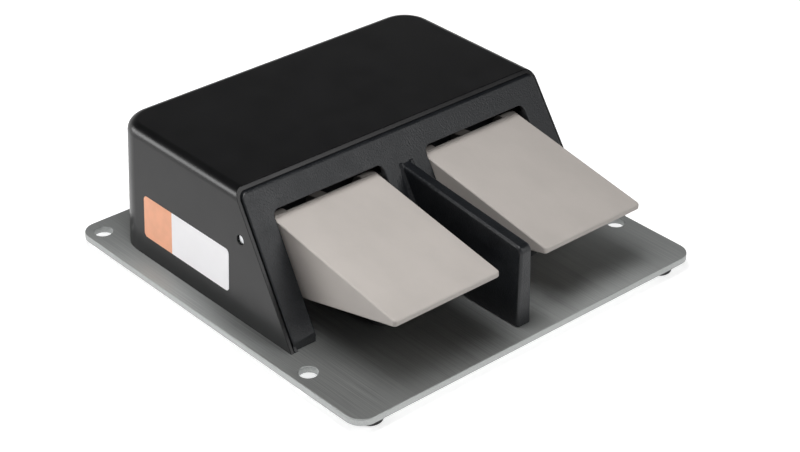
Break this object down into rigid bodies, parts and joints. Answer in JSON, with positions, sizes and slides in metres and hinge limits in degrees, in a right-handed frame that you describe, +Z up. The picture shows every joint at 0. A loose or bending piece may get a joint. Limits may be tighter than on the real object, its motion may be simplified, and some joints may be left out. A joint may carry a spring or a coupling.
{
  "type": "foot switch",
  "caption": "Twin foot switch with grey hinged pedals in windows of a sloping black hood, a divider fin, and a flat metal base plate on rubber feet.",
  "frame": {"origin": "floor under the middle of the square base plate, at the underside of the rubber feet", "axes": "+X to the right of someone who faces the pedals' tips, -Y the way the pedals point, +Z up"},
  "size_m": [0.24, 0.24, 0.0845],
  "materials": {
    "brushed_steel_plate": "brushed along the depth, light sheared edges",
    "black_rubber": "matt moulded rubber",
    "satin_black_hood": "smooth satin black",
    "zinc_screws": "bright zinc plate",
    "sticker_film": "blank vinyl sticker, white with an orange end",
    "grained_black_bezel": "fine moulded grain",
    "ground_steel": "ground bright steel",
    "spring_steel": "drawn spring steel",
    "warm_grey_pedal": "smooth matt warm grey",
    "white_nylon": "natural nylon",
    "black_nylon": "moulded black nylon",
    "phenolic_case": "moulded phenolic",
    "nickel_brass": "nickel plated brass",
    "terminal_brass": "bright brass",
    "zinc_sheet": "zinc plated sheet",
    "lead_insulation": "red insulation",
    "ground_green": "green passivated steel"
  },
  "bodies": {
    "base": {"base_plate": "brushed_steel_plate", "rubber_feet": "black_rubber", "cover_shell": "satin_black_hood", "cover_screws": "zinc_screws", "side_sticker": "sticker_film", "front_bezel": "grained_black_bezel", "bezel_screws": "zinc_screws", "hinge_axle": "ground_steel", "axle_clips": "spring_steel", "rest_pads": "black_rubber", "left_return_spring": "spring_steel", "right_return_spring": "spring_steel", "spring_seats": "black_nylon", "down_stops": "black_rubber", "left_switch_case": "phenolic_case", "right_switch_case": "phenolic_case", "switch_bushings": "nickel_brass", "bushing_nuts": "nickel_brass", "switch_terminals": "terminal_brass", "switch_brackets": "zinc_sheet", "switch_screws": "zinc_screws", "bracket_screws": "zinc_screws", "terminal_block": "phenolic_case", "terminal_screws": "terminal_brass", "block_screws": "zinc_screws", "switch_leads": "lead_insulation", "ground_screw": "ground_green", "ground_washer": "spring_steel", "gland_body": "black_nylon", "gland_locknut": "black_nylon", "gland_seal": "black_rubber", "gland_cap": "black_nylon"},
    "left_pedal_assembly": {"left_pedal": "warm_grey_pedal", "left_pedal_bushes": "white_nylon"},
    "right_pedal_assembly": {"right_pedal": "warm_grey_pedal", "right_pedal_bushes": "white_nylon"},
    "left_plunger": {"left_switch_plunger": "ground_steel"},
    "right_plunger": {"right_switch_plunger": "ground_steel"}
  },
  "joints": [
    {"name": "left_pedal_hinge", "type": "hinge", "parent": "base", "child": "left_pedal_assembly", "pos_m": [0, -0.01099, 0.0578], "axis": [1, 0, 0], "range_deg": [0, 8], "stiffness_Nm_per_rad": 6, "springref_deg": -6.88, "deforming": ["left_return_spring"]},
    {"name": "right_pedal_hinge", "type": "hinge", "parent": "base", "child": "right_pedal_assembly", "pos_m": [0, -0.01099, 0.0578], "axis": [1, 0, 0], "range_deg": [0, 8], "stiffness_Nm_per_rad": 6, "springref_deg": -6.88, "deforming": ["right_return_spring"]},
    {"name": "left_plunger_slide", "type": "slide", "parent": "base", "child": "left_plunger", "axis": [0, 1, 0], "range_m": [0, 0.0048], "stiffness_N_per_m": 200, "springref_m": -0.002},
    {"name": "right_plunger_slide", "type": "slide", "parent": "base", "child": "right_plunger", "axis": [0, 1, 0], "range_m": [0, 0.0048], "stiffness_N_per_m": 200, "springref_m": -0.002}
  ],
  "couplings": [
    {"joint": "left_plunger_slide", "follows": "left_pedal_hinge", "m_per_rad": 0.033},
    {"joint": "right_plunger_slide", "follows": "right_pedal_hinge", "m_per_rad": 0.033}
  ]
}
